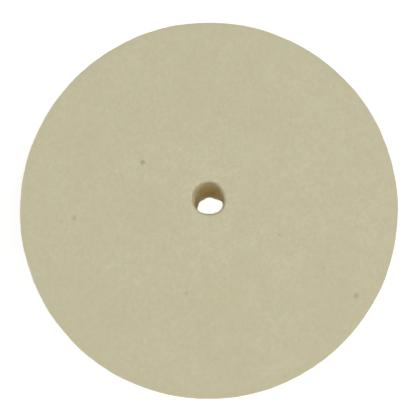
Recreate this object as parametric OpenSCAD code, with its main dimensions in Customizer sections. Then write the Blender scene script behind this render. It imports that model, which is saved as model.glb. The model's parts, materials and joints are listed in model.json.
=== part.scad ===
// Felt polishing wheel: a plain flat disc of pressed wool felt with a bore through
// its middle. It is built up from three plies of sheet felt, glued face to face.
// It lies on its rear face. The origin is on the bore's axis at the rear face, and
// +Z runs along the bore towards the front face. Sizes are in millimetres.

/* [Wheel] */
// Outer diameter of the wheel
wheel_d = 152.4; // [100:0.1:250]
// Width of the wheel from face to face
wheel_w = 38.1; // [20:0.1:60]
// Radius of the softened edge between each face and the rim
rim_edge_r = 0.5; // [0.2:0.1:3]

/* [Bore] */
// Diameter of the bore, a clearance fit on an arbor of 12.7
bore_d = 13; // [8:0.1:30]
// Radius of the softened edge at each mouth of the bore
mouth_edge_r = 1.6; // [0.3:0.1:3]

/* [Glue] */
// Thickness of each of the two glue layers
glue_t = 0.25; // [0.1:0.05:0.5]

/* [Hidden] */
$fn = 96;

felt_colour = [0.76, 0.74, 0.62];
glue_colour = [0.70, 0.64, 0.46];

ply_count = 3;
wheel_r = wheel_d / 2;
bore_r = bore_d / 2;
ply_t = (wheel_w - (ply_count - 1) * glue_t) / ply_count;
// Height from one ply's rear face to the next one's
ply_pitch = ply_t + glue_t;

// Half section of a flat ring as thick as t, in the plane of radius and height
module ring_section(t) {
    translate([bore_r, 0]) square([wheel_r - bore_r, t]);
}

// Half section of a ply whose upper face meets the bore and the rim in round edges
module face_ply_section() {
    mouth_x = bore_r + mouth_edge_r;
    rim_x = wheel_r - rim_edge_r;
    translate([bore_r, 0]) square([rim_x - bore_r, ply_t - mouth_edge_r]);
    translate([mouth_x, 0]) square([rim_x - mouth_x, ply_t]);
    translate([mouth_x, 0]) square([wheel_r - mouth_x, ply_t - rim_edge_r]);
    translate([mouth_x, ply_t - mouth_edge_r]) circle(r = mouth_edge_r);
    translate([rim_x, ply_t - rim_edge_r]) circle(r = rim_edge_r);
}

// A ply with its softened edges at the top
module face_ply() {
    color(felt_colour) rotate_extrude() face_ply_section();
}

// A glue layer: as wide as the plies that it joins
module glue_layer() {
    color(glue_colour) rotate_extrude() ring_section(glue_t);
}

module rear_felt_ply() {
    translate([0, 0, ply_t]) mirror([0, 0, 1]) face_ply();
}

module rear_glue_layer() {
    translate([0, 0, ply_t]) glue_layer();
}

module middle_felt_ply() {
    translate([0, 0, ply_pitch]) color(felt_colour) rotate_extrude() ring_section(ply_t);
}

module front_glue_layer() {
    translate([0, 0, ply_pitch + ply_t]) glue_layer();
}

module front_felt_ply() {
    translate([0, 0, 2 * ply_pitch]) face_ply();
}

front_felt_ply();
middle_felt_ply();
rear_felt_ply();
front_glue_layer();
rear_glue_layer();
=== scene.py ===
"""Looks of a felt polishing wheel: three plies of pressed wool felt, glued face to face and bored.

Everything is in metres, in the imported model's frame: the wheel lies on its rear face at z = 0,
with the bore's axis on Z and the front face up.
"""
import json
import math

import bpy
import numpy as np
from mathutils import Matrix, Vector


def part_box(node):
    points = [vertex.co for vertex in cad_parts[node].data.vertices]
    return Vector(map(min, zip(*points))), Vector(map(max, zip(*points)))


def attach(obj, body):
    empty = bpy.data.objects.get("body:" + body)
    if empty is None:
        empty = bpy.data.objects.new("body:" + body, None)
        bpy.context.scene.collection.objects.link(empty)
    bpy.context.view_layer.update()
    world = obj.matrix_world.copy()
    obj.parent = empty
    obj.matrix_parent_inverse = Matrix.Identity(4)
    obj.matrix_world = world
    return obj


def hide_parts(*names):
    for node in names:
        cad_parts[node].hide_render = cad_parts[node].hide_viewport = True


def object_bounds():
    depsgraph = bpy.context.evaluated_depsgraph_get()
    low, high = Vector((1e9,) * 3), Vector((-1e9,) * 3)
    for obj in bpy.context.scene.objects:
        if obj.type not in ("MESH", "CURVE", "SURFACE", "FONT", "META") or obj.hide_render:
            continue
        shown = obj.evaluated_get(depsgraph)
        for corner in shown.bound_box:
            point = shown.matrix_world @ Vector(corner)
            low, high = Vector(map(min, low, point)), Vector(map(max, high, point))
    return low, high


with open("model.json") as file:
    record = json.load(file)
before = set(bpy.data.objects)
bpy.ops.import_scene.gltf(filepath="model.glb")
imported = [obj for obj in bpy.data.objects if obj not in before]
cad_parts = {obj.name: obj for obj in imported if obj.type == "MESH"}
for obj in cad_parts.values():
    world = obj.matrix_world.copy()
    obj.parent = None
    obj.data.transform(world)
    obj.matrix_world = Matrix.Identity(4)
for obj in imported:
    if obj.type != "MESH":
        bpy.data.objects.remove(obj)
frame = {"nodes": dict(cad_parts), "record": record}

MM = 0.001

# ---------------------------------------------------------------- sizes from the frame

CAD_LOW, CAD_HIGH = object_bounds()
WHEEL_R = (CAD_HIGH.x - CAD_LOW.x) / 2
WHEEL_W = CAD_HIGH.z - CAD_LOW.z
BORE_MOUNT = next(m for m in frame["record"]["mounts"] if m["name"] == "arbor_bore")
BORE_R = BORE_MOUNT["dims"]["r_mm"] * MM
MOUTH_EDGE_R = (WHEEL_W - BORE_MOUNT["dims"]["length_mm"] * MM) / 2
# Radii closer than this count as the same
TINY = 0.01 * MM
# The front face's outer edge is rounded from the highest point of the front ply that is as far out as
# its rim, to within TINY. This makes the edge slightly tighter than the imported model's
FRONT_PLY = np.array([v.co for v in frame["nodes"]["front_felt_ply"].data.vertices])
ON_RIM = np.hypot(FRONT_PLY[:, 0], FRONT_PLY[:, 1]) > WHEEL_R - TINY
RIM_EDGE_R = CAD_HIGH.z - FRONT_PLY[ON_RIM, 2].max()

# ---------------------------------------------------------------- meshes and seeds

# The slight round edge of a glued face
GLUED_EDGE_R = 0.06 * MM
# Edge radii at the bore and at the rim, on a face that shows and on one that is glued
FACE_EDGES = (MOUTH_EDGE_R, RIM_EDGE_R)
GLUED_EDGES = (GLUED_EDGE_R, GLUED_EDGE_R)
# Spacing of the mesh on the parts of a ply that show, and on the faces that are glued
SHOWN_STEP = 0.62 * MM
GLUED_STEP = 4.0 * MM
# Straight pieces in the section of a rounded edge
EDGE_PIECES = 4
# Points round the rim, halved three times on the way in to the bore
RIM_SEGMENTS = 800
HALVINGS = 3
# Seeds of the noise and of the random draws, one for each piece and one for the cut walls
WALL_SEED = 20
FRONT_SEED = 100
MIDDLE_SEED = 200
REAR_SEED = 300
FRONT_GLUE_SEED = 400
REAR_GLUE_SEED = 500
FRONT_FIBRE_SEED = 600
REAR_FIBRE_SEED = 700
RIM_FIBRE_SEED = 800
BORE_FIBRE_SEED = 900
FUZZ_SEED = 1000

# ---------------------------------------------------------------- noise

# Large odd numbers, which scatter the bits of small whole ones
SCATTER_X = 374761393
SCATTER_Y = 668265263
SCATTER_Z = 1442695041
SCATTER_SEED = 974634777
SCATTER_AGAIN = np.uint64(1274126177)
LOW_32_BITS = 0xFFFFFFFF
LOW_24_BITS = 0xFFFFFF


def lattice(ix, iy, iz, seed):
    """A fixed pseudo-random value from 0 to 1 for each whole-number point."""
    bits = ix * SCATTER_X + iy * SCATTER_Y + iz * SCATTER_Z + seed * SCATTER_SEED
    bits = (bits & LOW_32_BITS).astype(np.uint64)
    bits = ((bits ^ (bits >> np.uint64(13))) * SCATTER_AGAIN) & np.uint64(LOW_32_BITS)
    bits = bits ^ (bits >> np.uint64(16))
    return (bits & np.uint64(LOW_24_BITS)).astype(float) / LOW_24_BITS


def noise(points, cell, seed):
    """Smooth noise from -1 to 1. cell is its grain, one length or one for each axis."""
    scaled = points / np.asarray(cell)
    base = np.floor(scaled).astype(np.int64)
    part = scaled - base
    part = part * part * (3 - 2 * part)
    total = np.zeros(len(points))
    for dx in (0, 1):
        wx = part[:, 0] if dx else 1 - part[:, 0]
        for dy in (0, 1):
            wy = part[:, 1] if dy else 1 - part[:, 1]
            for dz in (0, 1):
                wz = part[:, 2] if dz else 1 - part[:, 2]
                corner = lattice(base[:, 0] + dx, base[:, 1] + dy, base[:, 2] + dz, seed)
                total += wx * wy * wz * corner
    return 2 * total - 1


# ---------------------------------------------------------------- the felt's surface

# Relief of a flat face: (grain, height) of each layer of noise, and how deep it all lies
FACE_RELIEF = [(28 * MM, 0.14 * MM), (9 * MM, 0.06 * MM), (2.6 * MM, 0.05 * MM), (1.3 * MM, 0.05 * MM)]
FACE_SINK = 0.15 * MM
# Relief of a cut wall, where the fibres lie across the bore's axis: (along, upright, height)
WALL_RELIEF = [(16 * MM, 9 * MM, 0.12 * MM), (5 * MM, 1.6 * MM, 0.10 * MM), (2.2 * MM, 1.1 * MM, 0.07 * MM)]
# How far the rim and the bore's wall are cut back, so that their relief stays about in place
RIM_SINK = 0.06 * MM
BORE_SINK = 0.15 * MM
# The rim is a little out of round: how far it stands out on its long diameter, and where that is
OUT_OF_ROUND = 0.31 * MM
LONG_DIAMETER_DEG = 86
# Uneven places at the mouths of the bore: (degrees round, half width in degrees, how far worn back)
REAR_MOUTH = [(33, 18, 1.15 * MM), (69, 8, -0.35 * MM), (121, 12, -0.35 * MM), (140, 12, 0.35 * MM)]
FRONT_MOUTH = [(18, 38, -0.85 * MM), (-52, 20, 0.28 * MM)]
# How far uncut fibres narrow the rear mouth all round
NARROWED = 0.25 * MM
# How far these reach into the bore from its mouths
WORN_REACH = 9 * MM
# How far the wall's relief reaches into the felt
WALL_REACH = 3 * MM


def face_relief(points, seed):
    """How far a flat face's relief stands proud at each point, before it is sunk."""
    return sum(h * noise(points, cell, seed + i) for i, (cell, h) in enumerate(FACE_RELIEF))


def wall_relief(points, wall_r):
    """How far the rim or the bore's wall stands proud of wall_r, beside each point."""
    angle = np.arctan2(points[:, 1], points[:, 0])
    there = np.stack([wall_r * np.cos(angle), wall_r * np.sin(angle), points[:, 2]], 1)
    return sum(
        h * noise(there, (along, along, up), WALL_SEED + i)
        for i, (along, up, h) in enumerate(WALL_RELIEF)
    )


def worn(points):
    """How far the bore's wall is worn back beside each point, near its mouths. Less than 0 is narrower."""
    angle = np.degrees(np.arctan2(points[:, 1], points[:, 0]))
    rear, front = (
        sum(depth * np.exp(-(((angle - at) / half) ** 2)) for at, half, depth in places)
        for places in (REAR_MOUTH, FRONT_MOUTH)
    )
    by_rear = np.clip(1 - (points[:, 2] - CAD_LOW.z) / WORN_REACH, 0, 1)
    by_front = np.clip(1 - (CAD_HIGH.z - points[:, 2]) / WORN_REACH, 0, 1)
    return by_rear * (rear - NARROWED) + by_front * front


def rim_height(points):
    """How far the rim stands out from the wheel's radius, beside each point."""
    angle = np.arctan2(points[:, 1], points[:, 0])
    oval = OUT_OF_ROUND * np.cos(2 * (angle - math.radians(LONG_DIAMETER_DEG)))
    return wall_relief(points, WHEEL_R) + oval - RIM_SINK


def bore_height(points):
    """How far the bore's wall stands into the bore, beside each point."""
    return wall_relief(points, BORE_R) - BORE_SINK - worn(points)


def uneven(points):
    """The points with the rim and the bore's wall moved by their relief, and the felt beside them."""
    radius = np.hypot(points[:, 0], points[:, 1])
    by_rim = np.clip(1 - (WHEEL_R - radius) / WALL_REACH, 0, 1)
    by_bore = np.clip(1 - (radius - BORE_R) / WALL_REACH, 0, 1)
    moved = radius + by_rim * rim_height(points) - by_bore * bore_height(points)
    result = points.copy()
    result[:, :2] *= (moved / radius)[:, None]
    return result


def segments_at(radius):
    """Points round a ring of that radius: halved each time the radius halves, as far as HALVINGS."""
    count = RIM_SEGMENTS
    limit = WHEEL_R / 2
    for _ in range(HALVINGS):
        if radius < limit:
            count //= 2
        limit /= 2
    return count


def steps(a, b, step):
    """Values from a to b, both included, about step apart."""
    return list(np.linspace(a, b, max(2, int(round(abs(b - a) / step)) + 1)))


def arc(centre_r, centre_z, radius, start_deg, end_deg):
    """Points of an arc in the plane of radius and height."""
    turns = np.radians(np.linspace(start_deg, end_deg, EDGE_PIECES + 1))
    return [(centre_r + radius * math.cos(t), centre_z + radius * math.sin(t)) for t in turns]


def ply_profile(low_z, high_z, shown_low, shown_high):
    """The closed half section of a ply, from its low inner corner round by the bore, top and rim."""
    low_bore, low_rim = FACE_EDGES if shown_low else GLUED_EDGES
    high_bore, high_rim = FACE_EDGES if shown_high else GLUED_EDGES
    low_step = SHOWN_STEP if shown_low else GLUED_STEP
    high_step = SHOWN_STEP if shown_high else GLUED_STEP
    rows = [(BORE_R, z) for z in steps(low_z + low_bore, high_z - high_bore, SHOWN_STEP)]
    rows += arc(BORE_R + high_bore, high_z - high_bore, high_bore, 180, 90)[1:]
    rows += [(r, high_z) for r in steps(BORE_R + high_bore, WHEEL_R - high_rim, high_step)[1:]]
    rows += arc(WHEEL_R - high_rim, high_z - high_rim, high_rim, 90, 0)[1:]
    rows += [(WHEEL_R, z) for z in steps(high_z - high_rim, low_z + low_rim, SHOWN_STEP)[1:]]
    rows += arc(WHEEL_R - low_rim, low_z + low_rim, low_rim, 0, -90)[1:]
    rows += [(r, low_z) for r in steps(WHEEL_R - low_rim, BORE_R + low_bore, low_step)[1:]]
    rows += arc(BORE_R + low_bore, low_z + low_bore, low_bore, 270, 180)[1:-1]
    return rows


def ring(radius, height):
    """Points round a level ring."""
    count = segments_at(radius)
    turns = np.arange(count) * 2 * math.pi / count
    return np.stack([radius * np.cos(turns), radius * np.sin(turns), np.full(count, height)], 1)


def band(start, end, count):
    """Faces between two rings of count points each, whose first vertices are start and end."""
    following = [(k + 1) % count for k in range(count)]
    return [(start + k, start + f, end + f, end + k) for k, f in enumerate(following)]


def fans(coarse, fine, count):
    """Faces between a ring of count points and one of twice as many, from their first vertices."""
    faces = []
    for k in range(count):
        here, after = coarse + k, coarse + (k + 1) % count
        first, middle, last = (fine + (2 * k + i) % (2 * count) for i in range(3))
        faces += [(here, middle, first), (here, after, middle), (after, last, middle)]
    return faces


def revolve(rows):
    """Vertices and faces of the solid that a closed half section sweeps round Z."""
    rings = [ring(radius, height) for radius, height in rows]
    counts = [len(points) for points in rings]
    starts = np.concatenate([[0], np.cumsum(counts)])
    faces = []
    for i, count in enumerate(counts):
        j = (i + 1) % len(counts)
        if counts[j] == count:
            faces += band(starts[i], starts[j], count)
        elif counts[j] > count:
            faces += fans(starts[i], starts[j], count)
        else:
            faces += [face[::-1] for face in fans(starts[j], starts[i], counts[j])]
    return np.concatenate(rings), faces


def new_mesh(name, vertices, faces, smooth=True):
    mesh = bpy.data.meshes.new(name)
    mesh.from_pydata([tuple(v) for v in vertices], [], [tuple(int(i) for i in f) for f in faces])
    mesh.update()
    if smooth:
        mesh.shade_smooth()
    else:
        mesh.shade_flat()
    piece = bpy.data.objects.new(name, mesh)
    bpy.context.scene.collection.objects.link(piece)
    return piece


def normals_of(mesh):
    found = np.zeros(len(mesh.vertices) * 3)
    mesh.vertex_normals.foreach_get("vector", found)
    return found.reshape(-1, 3)


def felt_ply(name, node, seed, shown_low=False, shown_high=False):
    """A ply with relief on its bore, its rim and the faces that show. Glued faces stay flat."""
    low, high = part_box(node)
    vertices, faces = revolve(ply_profile(low.z, high.z, shown_low, shown_high))
    piece = new_mesh(name, vertices, faces)
    upward = normals_of(piece.data)[:, 2]
    height = face_relief(vertices, seed) - FACE_SINK
    for z, shown in ((low.z, shown_low), (high.z, shown_high)):
        if not shown:
            height[np.abs(vertices[:, 2] - z) < 2 * GLUED_EDGE_R] = 0
    vertices = uneven(vertices)
    # relief that would stand over a face is cut off, so the felt keeps its width and lies flat
    vertices[:, 2] = np.clip(vertices[:, 2] + upward * height, CAD_LOW.z, CAD_HIGH.z)
    piece.data.vertices.foreach_set("co", vertices.ravel())
    piece.data.update()
    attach(piece, "root")
    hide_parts(node)
    return piece


# How far the glue's edges lie behind the felt's, how far that varies either way, and its grain
GLUE_BACK = 0.02 * MM
GLUE_WANDER = 0.03 * MM
GLUE_GRAIN = (3 * MM, 3 * MM, 50 * MM)


def glue_line(name, node, seed):
    """A thin film whose edges wander a little behind the felt's."""
    low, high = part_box(node)
    rows = [(BORE_R, low.z), (BORE_R, high.z)]
    rows += [(r, high.z) for r in steps(BORE_R, WHEEL_R, GLUED_STEP)[1:]]
    rows += [(r, low.z) for r in steps(WHEEL_R, BORE_R, GLUED_STEP)[:-1]]
    vertices, faces = revolve(rows)
    radius = np.hypot(vertices[:, 0], vertices[:, 1])
    outer = radius > WHEEL_R - TINY
    inner = radius < BORE_R + TINY
    back = GLUE_BACK + GLUE_WANDER * noise(vertices, GLUE_GRAIN, seed)
    moved = radius - np.where(outer, back, 0) + np.where(inner, back, 0)
    vertices = uneven(vertices)
    vertices[:, :2] *= (moved / radius)[:, None]
    piece = new_mesh(name, vertices, faces)
    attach(piece, "root")
    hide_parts(node)
    return piece


# ---------------------------------------------------------------- loose fibres

FIBRE_POINTS = 8
FIBRE_SIDES = 3
FIBRE_RADII_MM = (0.022, 0.040)
# A fibre's thickness follows half a wave between these shares of it, to a power that blunts its ends
TAPER_ENDS = (0.12, 0.88)
TAPER_POWER = 0.6
# Spread of the bends in fibres, in radians
FIBRE_CURL = 0.5
# The shortest and the longest fibre, as shares of their kind's usual length, and those lengths
LENGTH_SHARES = (0.6, 1.4)
FACE_FIBRE_LENGTH = 5.0 * MM
RIM_FIBRE_LENGTH = 4.0 * MM
BORE_FIBRE_LENGTH = 2.5 * MM
# How high the middles of fibres stand over the felt at the least
FIBRE_CLEAR = 0.01 * MM
# How deep their ends are sunk, and how much higher their middles may stand
FACE_FIBRE_SUNK = 0.05 * MM
FACE_FIBRE_LIFT = 0.07 * MM
WALL_FIBRE_SUNK = 0.08 * MM
RIM_FIBRE_LIFT = 0.25 * MM
BORE_FIBRE_LIFT = 0.30 * MM
# On a wall, how much of a fibre's upright wandering is left, and how far its middle keeps from the
# faces. Its ends keep half as far
WALL_FLATNESS = 0.35
WALL_MARGIN = 1.0 * MM
# Any direction that no fibre happens to run along
ASIDE = (0.31, 0.17, 0.93)


def tubes(paths, radii):
    """Vertices and faces of closed thin tubes. paths is (fibres, points, 3); both ends taper."""
    fibres, points, _ = paths.shape
    along = np.gradient(paths, axis=1)
    along /= np.linalg.norm(along, axis=2, keepdims=True)
    side = np.cross(along, ASIDE)
    side /= np.linalg.norm(side, axis=2, keepdims=True)
    up = np.cross(side, along)
    taper = np.sin(np.linspace(*TAPER_ENDS, points) * math.pi) ** TAPER_POWER
    width = radii[:, None, None] * taper[None, :, None]
    turns = np.arange(FIBRE_SIDES) * 2 * math.pi / FIBRE_SIDES
    rings = [paths + width * (math.cos(t) * side + math.sin(t) * up) for t in turns]
    vertices = np.stack(rings, 2).reshape(-1, 3)
    first = np.arange(fibres) * points * FIBRE_SIDES
    faces = []
    for p in range(points - 1):
        for k in range(FIBRE_SIDES):
            a = p * FIBRE_SIDES + k
            b = p * FIBRE_SIDES + (k + 1) % FIBRE_SIDES
            corners = (a, b, b + FIBRE_SIDES, a + FIBRE_SIDES)
            faces += np.stack([first + corner for corner in corners], 1).tolist()
    last = (points - 1) * FIBRE_SIDES
    faces += np.stack([first + k for k in reversed(range(FIBRE_SIDES))], 1).tolist()
    faces += np.stack([first + last + k for k in range(FIBRE_SIDES)], 1).tolist()
    return vertices, faces


def wander(rng, count, length):
    """Flat curly paths about the origin, (count, FIBRE_POINTS, 2), of lengths about length."""
    lengths = length * rng.uniform(*LENGTH_SHARES, count)
    heading = rng.uniform(0, 2 * math.pi, count)[:, None]
    bend = rng.normal(0, FIBRE_CURL, (count, 1)) * np.linspace(-1, 1, FIBRE_POINTS)
    wave = rng.normal(0, FIBRE_CURL / 2, (count, FIBRE_POINTS))
    turn = heading + bend + wave
    step = (lengths / (FIBRE_POINTS - 1))[:, None]
    path = np.stack([np.cumsum(step * np.cos(turn), 1), np.cumsum(step * np.sin(turn), 1)], 2)
    return path - path.mean(1, keepdims=True)


def arches(rng, count, sunk, lift):
    """Heights along each path: the ends sunk in the felt, the middle about level with it or lifted."""
    share = np.sin(np.linspace(0, math.pi, FIBRE_POINTS)) ** 0.5
    tops = FIBRE_CLEAR + lift * rng.uniform(0, 1, (count, 1)) ** 2
    return -sunk + share * (sunk + tops)


def fibre_piece(name, paths, tones, rng):
    """One piece of many fibres, each in one of the materials in tones."""
    radii = rng.uniform(*FIBRE_RADII_MM, len(paths)) * MM
    vertices, faces = tubes(paths, radii)
    vertices[:, 2] = np.clip(vertices[:, 2], CAD_LOW.z, None)
    piece = new_mesh(name, vertices, faces)
    for tone in tones:
        piece.data.materials.append(tone)
    # tubes() gives one face of each fibre in turn
    chosen = rng.integers(0, len(tones), len(paths))
    piece.data.polygons.foreach_set("material_index", np.tile(chosen, len(faces) // len(paths)))
    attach(piece, "root")
    return piece


def face_fibres(name, tones, count, up, surface_seed, seed):
    """Fibres that lie on a flat face. up is 1 on the front face and -1 on the rear face."""
    rng = np.random.default_rng(seed)
    inner, outer = BORE_R + MOUTH_EDGE_R, WHEEL_R - RIM_EDGE_R
    radius = np.sqrt(rng.uniform(inner**2, outer**2, count))
    angle = rng.uniform(0, 2 * math.pi, count)
    root = np.stack([radius * np.cos(angle), radius * np.sin(angle)], 1)
    flat = root[:, None, :] + wander(rng, count, FACE_FIBRE_LENGTH)
    away = np.linalg.norm(flat, axis=2, keepdims=True)
    flat *= np.clip(away, inner, outer) / away
    face_z = CAD_HIGH.z if up > 0 else CAD_LOW.z
    points = np.concatenate([flat, np.full(flat.shape[:2] + (1,), face_z)], 2).reshape(-1, 3)
    ground = (face_relief(points, surface_seed) - FACE_SINK).reshape(flat.shape[:2])
    height = ground + arches(rng, count, FACE_FIBRE_SUNK, FACE_FIBRE_LIFT)
    paths = np.concatenate([flat, (face_z + up * height)[:, :, None]], 2)
    return fibre_piece(name, paths, tones, rng)


def wall_fibres(name, tones, count, radius, outward, length, lift, seed):
    """Fibres on the rim (outward 1) or the bore's wall (outward -1), lying mostly round it."""
    rng = np.random.default_rng(seed)
    path = wander(rng, count, length)
    # fibres lie in the layers of the felt, so their paths are squeezed towards level
    path[:, :, 1] *= WALL_FLATNESS
    z = rng.uniform(CAD_LOW.z + WALL_MARGIN, CAD_HIGH.z - WALL_MARGIN, (count, 1)) + path[:, :, 1]
    z = np.clip(z, CAD_LOW.z + WALL_MARGIN / 2, CAD_HIGH.z - WALL_MARGIN / 2)
    angle = rng.uniform(0, 2 * math.pi, (count, 1)) + path[:, :, 0] / radius
    points = np.stack([np.cos(angle), np.sin(angle), z], 2).reshape(-1, 3)
    ground = (rim_height if outward > 0 else bore_height)(points).reshape(z.shape)
    away = radius + outward * (ground + arches(rng, count, WALL_FIBRE_SUNK, lift))
    paths = np.stack([away * np.cos(angle), away * np.sin(angle), z], 2)
    return fibre_piece(name, paths, tones, rng)


# How deep the fuzz is rooted in the round edge of a mouth, sideways and downwards
ROOTED_BACK = 0.12 * MM
ROOTED_DOWN = 0.10 * MM
# Where it leaves the round edge, from the bore's wall (0) to the face (90 degrees)
LEAVES_DEG = (10, 80)
# How far it reaches over the bore, hangs down into it and leans round it, and how far it curls
REACH_MM = (0.2, 1.0)
DROOP_MM = (0.0, 0.8)
DRIFT_MM = 1.2
FUZZ_CURL = 0.10 * MM


def mouth_fuzz(name, tones, count, seed):
    """Short loose fibres round both mouths of the bore, leaning over its edge."""
    rng = np.random.default_rng(seed)
    side = np.where(np.arange(count) % 2 == 0, 1.0, -1.0)[:, None]
    share = np.linspace(0, 1, FIBRE_POINTS)[None, :]
    leave = np.radians(rng.uniform(*LEAVES_DEG, (count, 1)))
    reach = rng.uniform(*REACH_MM, (count, 1)) * MM
    droop = rng.uniform(*DROOP_MM, (count, 1)) * MM
    drift = rng.normal(0, DRIFT_MM, (count, 1)) * MM
    curl = FUZZ_CURL * rng.normal(0, 1, (2, count, FIBRE_POINTS)) * share
    edge_r = BORE_R + MOUTH_EDGE_R * (1 - np.cos(leave))
    edge_z = MOUTH_EDGE_R * (1 - np.sin(leave))
    away = edge_r + ROOTED_BACK - (reach + ROOTED_BACK) * share + curl[0]
    depth = edge_z + ROOTED_DOWN + (droop - ROOTED_DOWN) * share**2
    angle = rng.uniform(0, 2 * math.pi, (count, 1)) + (drift * share**1.5 + curl[1]) / BORE_R
    z = np.where(side > 0, CAD_HIGH.z - depth, CAD_LOW.z + depth)
    paths = np.stack([away * np.cos(angle), away * np.sin(angle), z], 2)
    paths = uneven(paths.reshape(-1, 3)).reshape(paths.shape)
    return fibre_piece(name, paths, tones, rng)


# ---------------------------------------------------------------- materials


class Nodes:
    """A short way to write a material's nodes."""

    def __init__(self, name):
        self.material = bpy.data.materials.new(name)
        self.material.use_nodes = True
        self.tree = self.material.node_tree
        self.shader = self.tree.nodes["Principled BSDF"]
        self.place = self.tree.nodes.new("ShaderNodeTexCoord").outputs["Object"]

    def add(self, kind, values=(), **settings):
        node = self.tree.nodes.new(kind)
        for key, value in settings.items():
            setattr(node, key, value)
        for key, value in dict(values).items():
            self.put(node.inputs[key], value)
        return node

    def put(self, socket, value):
        if isinstance(value, bpy.types.NodeSocket):
            self.tree.links.new(value, socket)
        else:
            socket.default_value = value

    def math(self, operation, a, b=0.0):
        return self.add("ShaderNodeMath", {0: a, 1: b}, operation=operation).outputs[0]

    def vector(self, operation, a, b=(0, 0, 0)):
        node = self.add("ShaderNodeVectorMath", {0: a, 1: b}, operation=operation)
        return node.outputs["Value" if operation in ("LENGTH", "DISTANCE") else "Vector"]

    def along(self, vector, axis):
        return self.add("ShaderNodeSeparateXYZ", {"Vector": vector}).outputs[axis]

    def noise(self, grain, detail=2.0, rough=0.5, distortion=0.0, place=None):
        """Noise about 0.5, whose features are about as wide as grain."""
        values = {"Scale": 1 / grain, "Detail": detail, "Roughness": rough, "Distortion": distortion}
        values["Vector"] = place or self.place
        return self.add("ShaderNodeTexNoise", values).outputs["Fac"]

    def stretched(self, scale):
        return self.add("ShaderNodeMapping", {"Vector": self.place, "Scale": scale}).outputs[0]

    def spread(self, value, low, high, to_low=0.0, to_high=1.0):
        """value from low to high becomes to_low to to_high, and stays between them."""
        names = ("Value", "From Min", "From Max", "To Min", "To Max")
        node = self.add("ShaderNodeMapRange", dict(zip(names, (value, low, high, to_low, to_high))))
        node.clamp = True
        return node.outputs[0]

    def mix(self, share, a, b):
        node = self.add("ShaderNodeMix", data_type="RGBA", blend_type="MIX")
        for index, value in ((0, share), (6, a), (7, b)):
            self.put(node.inputs[index], value)
        return node.outputs[2]

    def bump(self, height, distance, strength=1.0, normal=None):
        values = {"Height": height, "Distance": distance, "Strength": strength}
        if normal:
            values["Normal"] = normal
        return self.add("ShaderNodeBump", values).outputs[0]

    def surface(self, values):
        """Sets the shader's own sockets, to a node's output or to a value that is the same all over."""
        for key, value in values.items():
            self.put(self.shader.inputs[key], value)


# Specks in the front face: (x, y, half width) in mm and darkness. The broad ones are faint clouds
SPECKS = [
    (-27.0, 14.6, 1.40, 0.46),
    (57.2, -38.7, 1.50, 0.34),
    (-53.7, -8.1, 1.40, 0.28),
    (28.0, -14.8, 1.10, 0.18),
    (-8.6, -37.7, 1.10, 0.18),
    (4.3, 35.9, 3.50, 0.07),
    (-29.0, -44.5, 0.90, 0.14),
    (44.5, -28.1, 1.80, 0.09),
    (70.7, -10.0, 2.60, 0.07),
    (-58.7, -9.6, 1.10, 0.12),
]

FELT_COLOUR = (0.780, 0.732, 0.520, 1)
FELT_DARK = (0.715, 0.662, 0.450, 1)
FELT_LIGHT = (0.820, 0.785, 0.578, 1)
STREAK_COLOUR = (0.690, 0.630, 0.425, 1)
SPECK_COLOUR = (0.22, 0.19, 0.10, 1)
# amber of the bore's stain, made darker and deeper in tone as painted shade
BORE_STAIN_AND_SHADE = (0.780, 0.580, 0.190, 1)

# Grain of the mottling and of the finer grain over it, their shares of the felt's tone, and the
# tones between which it turns from dark to plain and from plain to light
MOTTLE_GRAIN = 1.5 * MM
FINE_GRAIN = 0.45 * MM
MOTTLE_SHARE = 0.55
FINE_SHARE = 0.45
DARK_TO_PLAIN = (0.32, 0.53)
PLAIN_TO_LIGHT = (0.50, 0.70)
# Broader darker clouds: (grain, detail, strength), and the values of noise between which they set in
CLOUDS = [(28 * MM, 3, 0.36), (5 * MM, 2, 0.30)]
CLOUD_RANGE = (0.35, 0.7)
# How far the mottling shifts the borders between tones, in and out and down the bore
RAGGED_RADIUS = 0.8 * MM
RAGGED_DEPTH = 3.0 * MM
# The rim's streaks set in between these radii, and between these values of their noise
STREAK_RADII = (WHEEL_R - 1.4 * MM, WHEEL_R - 0.9 * MM)
STREAK_RANGE = (0.45, 0.75)
STREAK_STRENGTH = 0.8
STREAK_GRAIN = 0.9 * MM
# Places are squeezed along X and Y in that noise, which draws the streaks out level
STREAK_SCALE = (0.35, 0.35, 1.0)
# The bore's stain, partly a real stain and partly painted shade that deepens into the bore, fades out
# between these radii, and goes from faint to full between these depths
STAIN_AND_SHADE_RADII = (BORE_R + 0.4 * MM, BORE_R + 1.2 * MM)
STAIN_AND_SHADE_DEPTHS = (1.0 * MM, 12.0 * MM)
STAIN_AND_SHADE_FAINT = 0.10
# Towards the bore's two sides along X a depth counts for less, between these cosines, so there is less
# painted shade where the side walls are lit
SIDE_COSINES = (0.4, 0.85)
DEPTH_AT_SIDES = 0.35
# The face darkens outwards between the first radii, and more between the second ones, at its edge, where
# the darkening is painted shade over the light that its rounded edge catches
OUTWARD_DARKENING_RADII = (0.35 * WHEEL_R, WHEEL_R)
OUTWARD_DARKENING = 0.15
EDGE_SHADE_RADII = (WHEEL_R - 3.5 * MM, WHEEL_R - 0.5 * MM)
PAINTED_EDGE_SHADE = 0.35
# Sparse faint specks anywhere: the size of the cells they lie in, the brightness of a cell's random
# colour from which it has one, how wide it is as a share of the cell, and its darkness
FAINT_CELL = 9 * MM
FAINT_CHOSEN = (0.80, 0.82)
FAINT_WIDTH = (0.02, 0.05)
FAINT_DARKNESS = 0.18
# The larger specks' solid middle and the wandering of their borders, as shares of their half width
SPECK_MIDDLE = 0.10
SPECK_RAGGED = 0.8
SPECK_GRAIN = 0.8 * MM
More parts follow.
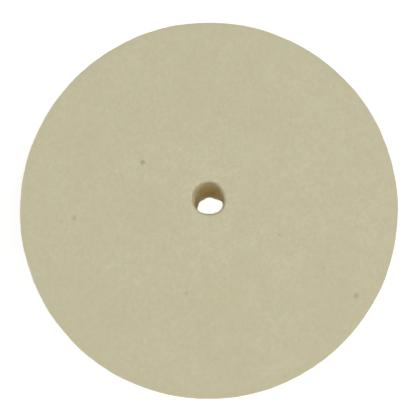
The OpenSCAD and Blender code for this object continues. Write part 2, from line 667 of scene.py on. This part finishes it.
# Bumps that are too fine for the mesh: the grain of the threads, and (depth, strength) of them and
# of the fine grain
THREAD_GRAIN = 0.9 * MM
THREAD_BUMP = (0.05 * MM, 0.5)
FINE_BUMP = (0.06 * MM, 0.6)
# Values of the fine grain between which the wool goes from its least to its most rough
FINE_RANGE = (0.3, 0.7)
WOOL_ROUGHNESS = (0.86, 0.98)
WOOL_FINISH = {"Specular IOR Level": 0.25, "Sheen Weight": 0.12, "Sheen Roughness": 0.6}
# Light soaks a little way into wool before it comes back
WOOL_DEPTH = {
    "Subsurface Weight": 0.7,
    "Subsurface Radius": (1.0, 0.9, 0.75),
    "Subsurface Scale": 1.2 * MM,
}


def mottled(felt, mottle, fine, paler):
    """The felt's own colour: dark, plain and light wool in four grains."""
    mottle = felt.math("MULTIPLY", mottle, MOTTLE_SHARE)
    shade = felt.math("ADD", mottle, felt.math("MULTIPLY", fine, FINE_SHARE))
    colour = felt.mix(felt.spread(shade, *DARK_TO_PLAIN), FELT_DARK, FELT_COLOUR)
    colour = felt.mix(felt.spread(shade, *PLAIN_TO_LIGHT), colour, FELT_LIGHT)
    for grain, detail, strength in CLOUDS:
        cloud = felt.spread(felt.noise(grain, detail), *CLOUD_RANGE, 0.0, strength)
        colour = felt.mix(cloud, colour, FELT_DARK)
    return felt.mix(paler, colour, FELT_LIGHT)


def streaked(felt, colour, radius):
    """On the rim the layers of the felt show as level streaks."""
    drawn_out = felt.stretched(STREAK_SCALE)
    streaks = felt.noise(STREAK_GRAIN, detail=3, rough=0.6, distortion=1.0, place=drawn_out)
    streaks = felt.spread(streaks, *STREAK_RANGE, 0.0, STREAK_STRENGTH)
    on_rim = felt.spread(radius, *STREAK_RADII)
    return felt.mix(felt.math("MULTIPLY", on_rim, streaks), colour, STREAK_COLOUR)


def bore_stain_and_shade(felt, colour, radius, around, ragged):
    """The bore's wall is stained amber and darkened by painted shade, more so away from its mouths, and
    later at its two sides, where more light reaches.
    """
    height = felt.along(felt.place, "Z")
    depth = felt.math("MINIMUM", height, felt.math("SUBTRACT", WHEEL_W, height))
    depth = felt.math("ADD", depth, felt.math("MULTIPLY", ragged, RAGGED_DEPTH))
    beside = felt.math("ABSOLUTE", felt.along(felt.vector("NORMALIZE", around), "X"))
    depth = felt.math("MULTIPLY", depth, felt.spread(beside, *SIDE_COSINES, 1.0, DEPTH_AT_SIDES))
    on_wall = felt.spread(radius, *STAIN_AND_SHADE_RADII, 1.0, 0.0)
    stain_and_shade = felt.math("MULTIPLY", on_wall, felt.spread(depth, *STAIN_AND_SHADE_DEPTHS, STAIN_AND_SHADE_FAINT, 1.0))
    return felt.mix(stain_and_shade, colour, BORE_STAIN_AND_SHADE)


def rim_darkening_and_edge_shade(felt, colour, radius):
    """The face is a little darker towards the rim, and most at its edge, where the darkening is painted
    shade.
    """
    darkening_and_edge_shade = felt.spread(radius, *OUTWARD_DARKENING_RADII, 0.0, OUTWARD_DARKENING)
    # painted shade on the face's rounded edge, which would otherwise show a band of light
    darkening_and_edge_shade = felt.math("ADD", darkening_and_edge_shade, felt.spread(radius, *EDGE_SHADE_RADII, 0.0, PAINTED_EDGE_SHADE))
    return felt.mix(darkening_and_edge_shade, colour, FELT_DARK)


def speckled(felt, colour, specks):
    """Sparse faint specks anywhere, and the larger ones that are given, in the front face."""
    cells = felt.add("ShaderNodeTexVoronoi", {"Vector": felt.place, "Scale": 1 / FAINT_CELL})
    chosen = felt.spread(cells.outputs["Color"], *FAINT_CHOSEN)
    spot = felt.spread(cells.outputs["Distance"], *FAINT_WIDTH, 1.0, 0.0)
    darkness = felt.math("MULTIPLY", felt.math("MULTIPLY", spot, chosen), FAINT_DARKNESS)
    ragged = felt.math("SUBTRACT", felt.noise(SPECK_GRAIN, detail=1), 0.5)
    for x, y, half, dark in specks:
        away = felt.vector("DISTANCE", felt.place, (x * MM, y * MM, CAD_HIGH.z))
        away = felt.math("ADD", away, felt.math("MULTIPLY", ragged, SPECK_RAGGED * half * MM))
        spot = felt.spread(away, SPECK_MIDDLE * half * MM, half * MM, dark, 0.0)
        darkness = felt.math("MAXIMUM", darkness, spot)
    return felt.mix(darkness, colour, SPECK_COLOUR)


def felt_bump(felt, fine):
    """Crossing threads of wool, and a finer roughness over them."""
    values = {"Vector": felt.place, "Scale": 1 / THREAD_GRAIN, "Detail": 3.0, "Roughness": 0.7}
    threads = felt.add("ShaderNodeTexNoise", values, noise_type="RIDGED_MULTIFRACTAL").outputs["Fac"]
    return felt.bump(fine, *FINE_BUMP, felt.bump(threads, *THREAD_BUMP))


def felt_material(name, specks, paler):
    """Pressed wool. specks are the larger ones in its front face; paler lifts its tone a little."""
    felt = Nodes(name)
    mottle = felt.noise(MOTTLE_GRAIN, detail=2, rough=0.6)
    fine = felt.noise(FINE_GRAIN, detail=2, rough=0.6, distortion=1.5)
    ragged = felt.math("SUBTRACT", mottle, 0.5)
    around = felt.vector("MULTIPLY", felt.place, (1, 1, 0))
    radius = felt.math("ADD", felt.vector("LENGTH", around), felt.math("MULTIPLY", ragged, RAGGED_RADIUS))
    colour = mottled(felt, mottle, fine, paler)
    colour = streaked(felt, colour, radius)
    # amber stain in the bore, with painted shade deeper in
    colour = bore_stain_and_shade(felt, colour, radius, around, ragged)
    # darker towards the rim, with painted shade at the edge
    colour = rim_darkening_and_edge_shade(felt, colour, radius)
    felt.surface({
        "Base Color": speckled(felt, colour, specks),
        "Roughness": felt.spread(fine, *FINE_RANGE, *WOOL_ROUGHNESS),
        "Normal": felt_bump(felt, fine),
    })
    felt.surface(WOOL_FINISH)
    felt.surface(WOOL_DEPTH)
    return felt.material


# Loose fibres are thinner than any mottling, so each has one tone, from these
WOOL_TONES = {"pale": FELT_LIGHT, "plain": FELT_COLOUR, "dark": FELT_DARK}
# the bore's loose fibres take the amber of its stain and painted shade
AMBER_TONES = {
    "pale": (0.800, 0.680, 0.380, 1),
    "plain": (0.780, 0.600, 0.250, 1),
    "dark": BORE_STAIN_AND_SHADE,
}
FIBRE_ROUGHNESS = 0.85


def fibre_material(name, colour):
    fibre = Nodes(name)
    fibre.surface({"Base Color": colour, "Roughness": FIBRE_ROUGHNESS})
    fibre.surface(WOOL_FINISH)
    return fibre.material


GLUE_DARK = (0.62, 0.50, 0.25, 1)
GLUE_PALE = (0.70, 0.60, 0.34, 1)
# Patches of dried glue: their grain, the values of noise between which they change, their roughness
GLUE_PATCH = 3 * MM
PATCH_RANGE = (0.3, 0.7)
GLUE_ROUGHNESS = (0.45, 0.7)
GLUE_BUMP_GRAIN = 0.4 * MM
GLUE_BUMP = (0.05 * MM, 0.5)


def glue_material():
    glue = Nodes("dried_glue")
    patch = glue.noise(GLUE_PATCH, detail=3)
    glue.surface({
        "Base Color": glue.mix(glue.spread(patch, *PATCH_RANGE), GLUE_DARK, GLUE_PALE),
        "Roughness": glue.spread(patch, *PATCH_RANGE, *GLUE_ROUGHNESS),
        "Normal": glue.bump(glue.noise(GLUE_BUMP_GRAIN, detail=2), *GLUE_BUMP),
    })
    return glue.material


# ---------------------------------------------------------------- stage, light and camera


FLOOR_HALF = 6.0
# How far the floor lies below the wheel, so that the two never share a plane
FLOOR_GAP = 0.02 * MM
FLOOR_FINISH = {
    "Base Color": (0.80, 0.80, 0.80, 1),
    "Roughness": 0.9,
    "Specular IOR Level": 0.0,
    "Emission Color": (1, 1, 1, 1),
}
# How brightly the camera sees the floor glow, in the open and through the bore, and the radii
# between which the one turns into the other
FLOOR_GLOW = 0.50
BORE_GLOW = 0.95
GLOW_RADII = (BORE_R + 3 * MM, BORE_R + 6 * MM)
# Far from the wheel the floor glows more, so that it fades into the surroundings
FADE_RADII = (0.25, 2.0)
FADED_GLOW = 1.0
# How much of the glow the other rays meet, as light from the floor
FLOOR_LIGHT = 0.45


def floor():
    """A pale floor. The camera sees it glow, so that it stays pale in the wheel's soft shadow."""
    pale = Nodes("pale_floor")
    pale.surface(FLOOR_FINISH)
    radius = pale.vector("LENGTH", pale.place)
    glow = pale.spread(radius, *GLOW_RADII, BORE_GLOW, FLOOR_GLOW)
    glow = pale.math("MAXIMUM", glow, pale.spread(radius, *FADE_RADII, FLOOR_GLOW, FADED_GLOW))
    seen = pale.add("ShaderNodeLightPath").outputs["Is Camera Ray"]
    seen = pale.spread(seen, 0, 1, FLOOR_LIGHT, 1.0)
    pale.surface({"Emission Strength": pale.math("MULTIPLY", seen, glow)})
    sides = ((-1, -1), (1, -1), (1, 1), (-1, 1))
    corners = [(x * FLOOR_HALF, y * FLOOR_HALF, CAD_LOW.z - FLOOR_GAP) for x, y in sides]
    piece = new_mesh("floor", corners, [(0, 1, 2, 3)], smooth=False)
    piece.data.materials.append(pale.material)


# How brightly the surroundings light the wheel, and how brightly the camera sees them
SKY_LIGHT = 0.03
SKY_SEEN = 1.0
# Round lamps that point at the wheel: (name, place, width, power in watts)
LAMPS = [
    ("near_right", (1.046, -1.046, 3.172), 1.10, 30.6),
    ("near_left", (-1.046, -1.046, 3.172), 1.10, 23.7),
    ("left", (-2.25, 0.00, 2.68), 1.60, 16.8),
    ("right", (2.25, 0.00, 2.68), 1.60, 33.6),
]


def soft_light(name, place, size, power):
    data = bpy.data.lights.new(name, "AREA")
    data.shape = "DISK"
    data.size = size
    data.energy = power
    lamp = bpy.data.objects.new(name, data)
    lamp.location = place
    lamp.rotation_mode = "QUATERNION"
    lamp.rotation_quaternion = (-lamp.location).to_track_quat("-Z", "Y")
    bpy.context.scene.collection.objects.link(lamp)


def lights():
    for lamp in LAMPS:
        soft_light(*lamp)
    world = bpy.data.worlds.new("studio")
    world.use_nodes = True
    tree = world.node_tree
    sky = tree.nodes["Background"]
    sky.inputs["Color"].default_value = (1, 1, 1, 1)
    # the camera sees the surroundings as pale as the floor, whatever light they give
    seen = tree.nodes.new("ShaderNodeLightPath").outputs["Is Camera Ray"]
    strength = tree.nodes.new("ShaderNodeMapRange")
    strength.inputs["To Min"].default_value = SKY_LIGHT
    strength.inputs["To Max"].default_value = SKY_SEEN
    tree.links.new(seen, strength.inputs["Value"])
    tree.links.new(strength.outputs[0], sky.inputs["Strength"])
    bpy.context.scene.world = world


# The camera's place over the front face in wheel radii, and its tilt and lens
CAMERA_SIDE = 0.032
CAMERA_BACK = 0.335
CAMERA_UP = 1.904
CAMERA_TILT_DEG = 7.69
SENSOR_MM = 36.0
LENS_MM = 31.42
# The lens's shift, as shares of the picture's width
SHIFT_X = -0.0119
SHIFT_Y = 0.0057
# The nearest and the farthest that the camera sees
CLIP_START = 0.01
CLIP_END = 50


def camera():
    data = bpy.data.cameras.new("camera")
    data.sensor_width = SENSOR_MM
    data.lens = LENS_MM
    data.shift_x = SHIFT_X
    data.shift_y = SHIFT_Y
    data.clip_start = CLIP_START
    data.clip_end = CLIP_END
    eye = bpy.data.objects.new("camera", data)
    eye.location = (CAMERA_SIDE * WHEEL_R, -CAMERA_BACK * WHEEL_R, CAD_HIGH.z + CAMERA_UP * WHEEL_R)
    eye.rotation_euler = (math.radians(CAMERA_TILT_DEG), 0, 0)
    bpy.context.scene.collection.objects.link(eye)
    bpy.context.scene.camera = eye


# ---------------------------------------------------------------- the wheel

camera()
lights()
floor()
plies = [
    felt_ply("front_felt", "front_felt_ply", FRONT_SEED, shown_high=True),
    felt_ply("middle_felt", "middle_felt_ply", MIDDLE_SEED),
    felt_ply("rear_felt", "rear_felt_ply", REAR_SEED, shown_low=True),
]
films = [
    glue_line("front_glue", "front_glue_layer", FRONT_GLUE_SEED),
    glue_line("rear_glue", "rear_glue_layer", REAR_GLUE_SEED),
]
wool = [fibre_material("wool_" + tone, colour) for tone, colour in WOOL_TONES.items()]
amber_wool = [fibre_material("amber_wool_" + tone, colour) for tone, colour in AMBER_TONES.items()]
face_fibres("front_fibres", wool, count=4000, up=1, surface_seed=FRONT_SEED, seed=FRONT_FIBRE_SEED)
face_fibres("rear_fibres", wool, count=2000, up=-1, surface_seed=REAR_SEED, seed=REAR_FIBRE_SEED)
wall_fibres(
    "rim_fibres", wool, count=4000, radius=WHEEL_R, outward=1,
    length=RIM_FIBRE_LENGTH, lift=RIM_FIBRE_LIFT, seed=RIM_FIBRE_SEED,
)
wall_fibres(
    "bore_fibres", amber_wool, count=400, radius=BORE_R, outward=-1,
    length=BORE_FIBRE_LENGTH, lift=BORE_FIBRE_LIFT, seed=BORE_FIBRE_SEED,
)
mouth_fuzz("mouth_fuzz", wool, count=400, seed=FUZZ_SEED)
# each sheet of felt has its own tone
plies[0].data.materials.append(felt_material("front_wool_felt", SPECKS, paler=0.0))
plies[1].data.materials.append(felt_material("middle_wool_felt", [], paler=0.35))
plies[2].data.materials.append(felt_material("rear_wool_felt", [], paler=0.15))
dried_glue = glue_material()
for film in films:
    film.data.materials.append(dried_glue)

bpy.context.scene.view_settings.view_transform = "Standard"
bpy.context.scene.view_settings.look = "None"
